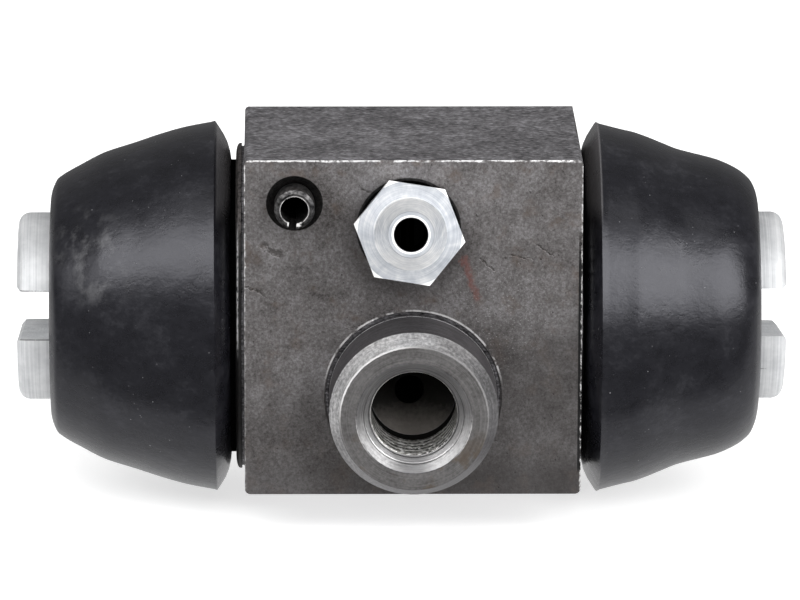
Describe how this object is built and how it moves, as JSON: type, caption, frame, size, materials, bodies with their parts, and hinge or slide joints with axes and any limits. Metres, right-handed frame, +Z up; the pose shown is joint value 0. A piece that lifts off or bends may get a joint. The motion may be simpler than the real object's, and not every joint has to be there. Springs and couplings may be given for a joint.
{
  "type": "wheel cylinder",
  "caption": "Hydraulic drum brake wheel cylinder with opposed slotted pistons, rubber boots, a tapped fluid port in a round boss, a bleed screw and a locating pin.",
  "frame": {"origin": "where the axis of the port boss crosses the milled face of the mounting pad", "axes": "+X along the bore to the right-hand piston, +Z up towards the bleed screw, -Y out of the mounting pad towards the backing plate"},
  "size_m": [0.0807, 0.054, 0.0403],
  "materials": {
    "body_iron": "cast, with milled and turned faces",
    "pin_steel": "plain rolled steel",
    "zinc_steel": "bright zinc plated",
    "piston_metal": "turned, satin",
    "cup_rubber": "smooth moulded",
    "spring_steel": "plain spring steel",
    "boot_rubber": "moulded, slight sheen"
  },
  "bodies": {
    "housing": {"body": "body_iron", "locating_pin": "pin_steel", "boot_left": "boot_rubber", "boot_right": "boot_rubber", "return_spring": "spring_steel"},
    "left_seal": {"cup_left": "cup_rubber", "expander_left": "spring_steel"},
    "left_piston": {"piston_left": "piston_metal"},
    "right_seal": {"cup_right": "cup_rubber", "expander_right": "spring_steel"},
    "right_piston": {"piston_right": "piston_metal"},
    "bleeder": {"bleed_screw": "zinc_steel"}
  },
  "joints": [
    {"name": "left_stroke", "type": "slide", "parent": "housing", "child": "left_seal", "axis": [-1, 0, 0], "range_m": [-0.0015, 0.006], "deforming": ["boot_left", "return_spring"]},
    {"name": "left_turn", "type": "hinge", "parent": "left_seal", "child": "left_piston", "pos_m": [-0.02, 0.0175, 0.0048], "axis": [1, 0, 0], "continuous": true},
    {"name": "right_stroke", "type": "slide", "parent": "housing", "child": "right_seal", "axis": [1, 0, 0], "range_m": [-0.0015, 0.006], "deforming": ["boot_right", "return_spring"]},
    {"name": "right_turn", "type": "hinge", "parent": "right_seal", "child": "right_piston", "pos_m": [0.02, 0.0175, 0.0048], "axis": [1, 0, 0], "continuous": true},
    {"name": "bleed_turn", "type": "hinge", "parent": "housing", "child": "bleeder", "pos_m": [-0.0005, 0, 0.0178], "axis": [0, -0.9659, 0.2588], "range_deg": [0, 360]}
  ]
}
